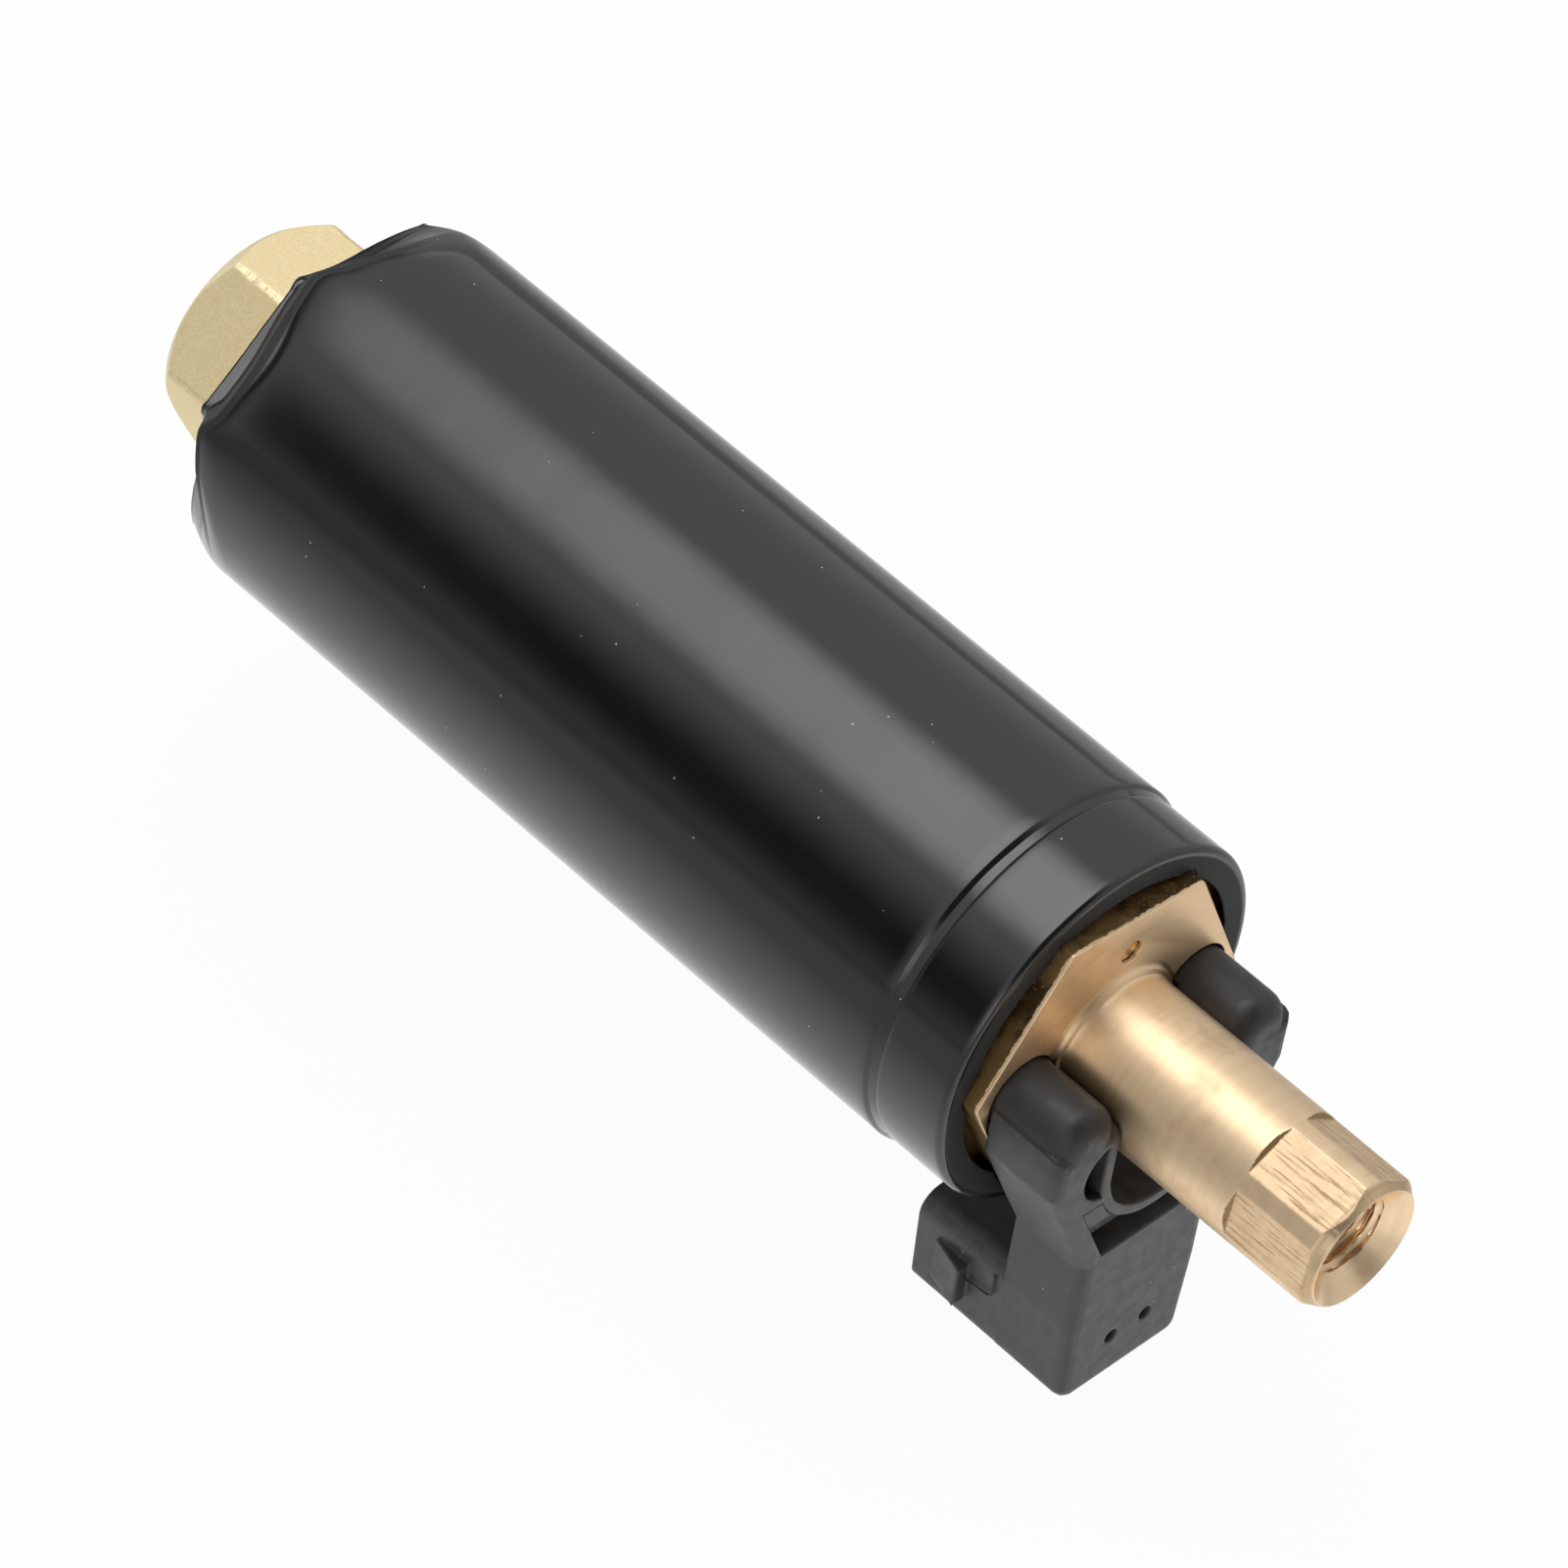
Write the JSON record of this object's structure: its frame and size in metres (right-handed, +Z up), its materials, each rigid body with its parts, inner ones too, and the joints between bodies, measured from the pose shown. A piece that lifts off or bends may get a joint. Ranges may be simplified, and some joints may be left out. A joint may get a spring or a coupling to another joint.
{
  "type": "electric fuel pump",
  "caption": "In-line electric fuel pump: film-covered can, brass inlet and outlet with internal threads, and a moulded two-blade socket under the outlet end.",
  "frame": {"origin": "on the pump's axis, half way along the full diameter of the can", "axes": "+X along the axis towards the outlet, +Z up, the socket hangs towards -Z"},
  "size_m": [0.1937, 0.052, 0.075],
  "materials": {
    "film": "glossy shrink film",
    "can_steel": "plain steel, under the film",
    "outlet_brass": "turned, satin",
    "inlet_brass": "blasted, dull",
    "seal": "moulded",
    "housing": "moulded, glass filled",
    "tinned": "tinned",
    "plated_steel": "zinc plated",
    "insulator": "moulded",
    "ferrite": "sintered",
    "spring_steel": "drawn wire",
    "holder_resin": "moulded",
    "carbon": "pressed carbon",
    "ground_steel": "ground",
    "lamination": "stamped sheets",
    "copper": "enamelled copper",
    "bush_bronze": "sintered bronze",
    "impeller_resin": "moulded",
    "plate_aluminium": "cast and turned",
    "gauze": "woven wire gauze",
    "poppet_resin": "moulded"
  },
  "bodies": {
    "pump": {"film_sleeve": "film", "can_shell": "can_steel", "outlet_cap": "outlet_brass", "inlet_cap": "inlet_brass", "outlet_o_ring": "seal", "inlet_o_ring": "seal", "connector_housing": "housing", "terminal_cover": "housing", "blade_positive": "tinned", "blade_negative": "tinned", "stud_positive": "plated_steel", "stud_negative": "plated_steel", "stud_insulators": "insulator", "stud_nuts": "plated_steel", "magnet_upper": "ferrite", "magnet_lower": "ferrite", "magnet_clips": "spring_steel", "brush_holder": "holder_resin", "brush_spring_positive": "spring_steel", "brush_spring_negative": "spring_steel", "outlet_bush": "bush_bronze", "inlet_bush": "bush_bronze", "thrust_ball": "ground_steel", "pump_body_plate": "plate_aluminium", "pump_cover_plate": "plate_aluminium", "pump_screws": "plated_steel", "inlet_strainer": "gauze", "check_seat": "plate_aluminium", "check_spring": "spring_steel", "relief_seat": "bush_bronze", "relief_spring": "spring_steel"},
    "rotor": {"shaft": "ground_steel", "armature_stack": "lamination", "windings": "copper", "commutator": "copper", "impeller": "impeller_resin"},
    "brush_positive": {"brush_positive": "carbon"},
    "brush_negative": {"brush_negative": "carbon"},
    "check_valve": {"check_poppet": "poppet_resin"},
    "relief_valve": {"relief_ball": "ground_steel"}
  },
  "joints": [
    {"name": "rotor_spin", "type": "hinge", "parent": "pump", "child": "rotor", "pos_m": [0, 0, 0], "axis": [1, 0, 0], "continuous": true},
    {"name": "brush_positive_slide", "type": "slide", "parent": "pump", "child": "brush_positive", "axis": [1, 0, 0], "range_m": [0, 0.0025], "stiffness_N_per_m": 300, "springref_m": -0.004, "deforming": ["brush_spring_positive"]},
    {"name": "brush_negative_slide", "type": "slide", "parent": "pump", "child": "brush_negative", "axis": [1, 0, 0], "range_m": [0, 0.0025], "stiffness_N_per_m": 300, "springref_m": -0.004, "deforming": ["brush_spring_negative"]},
    {"name": "check_valve_lift", "type": "slide", "parent": "pump", "child": "check_valve", "axis": [1, 0, 0], "range_m": [0, 0.0025], "stiffness_N_per_m": 150, "springref_m": -0.003, "deforming": ["check_spring"]},
    {"name": "relief_valve_lift", "type": "slide", "parent": "pump", "child": "relief_valve", "axis": [-1, 0, 0], "range_m": [0, 0.0014], "stiffness_N_per_m": 500, "springref_m": -0.004, "deforming": ["relief_spring"]}
  ]
}
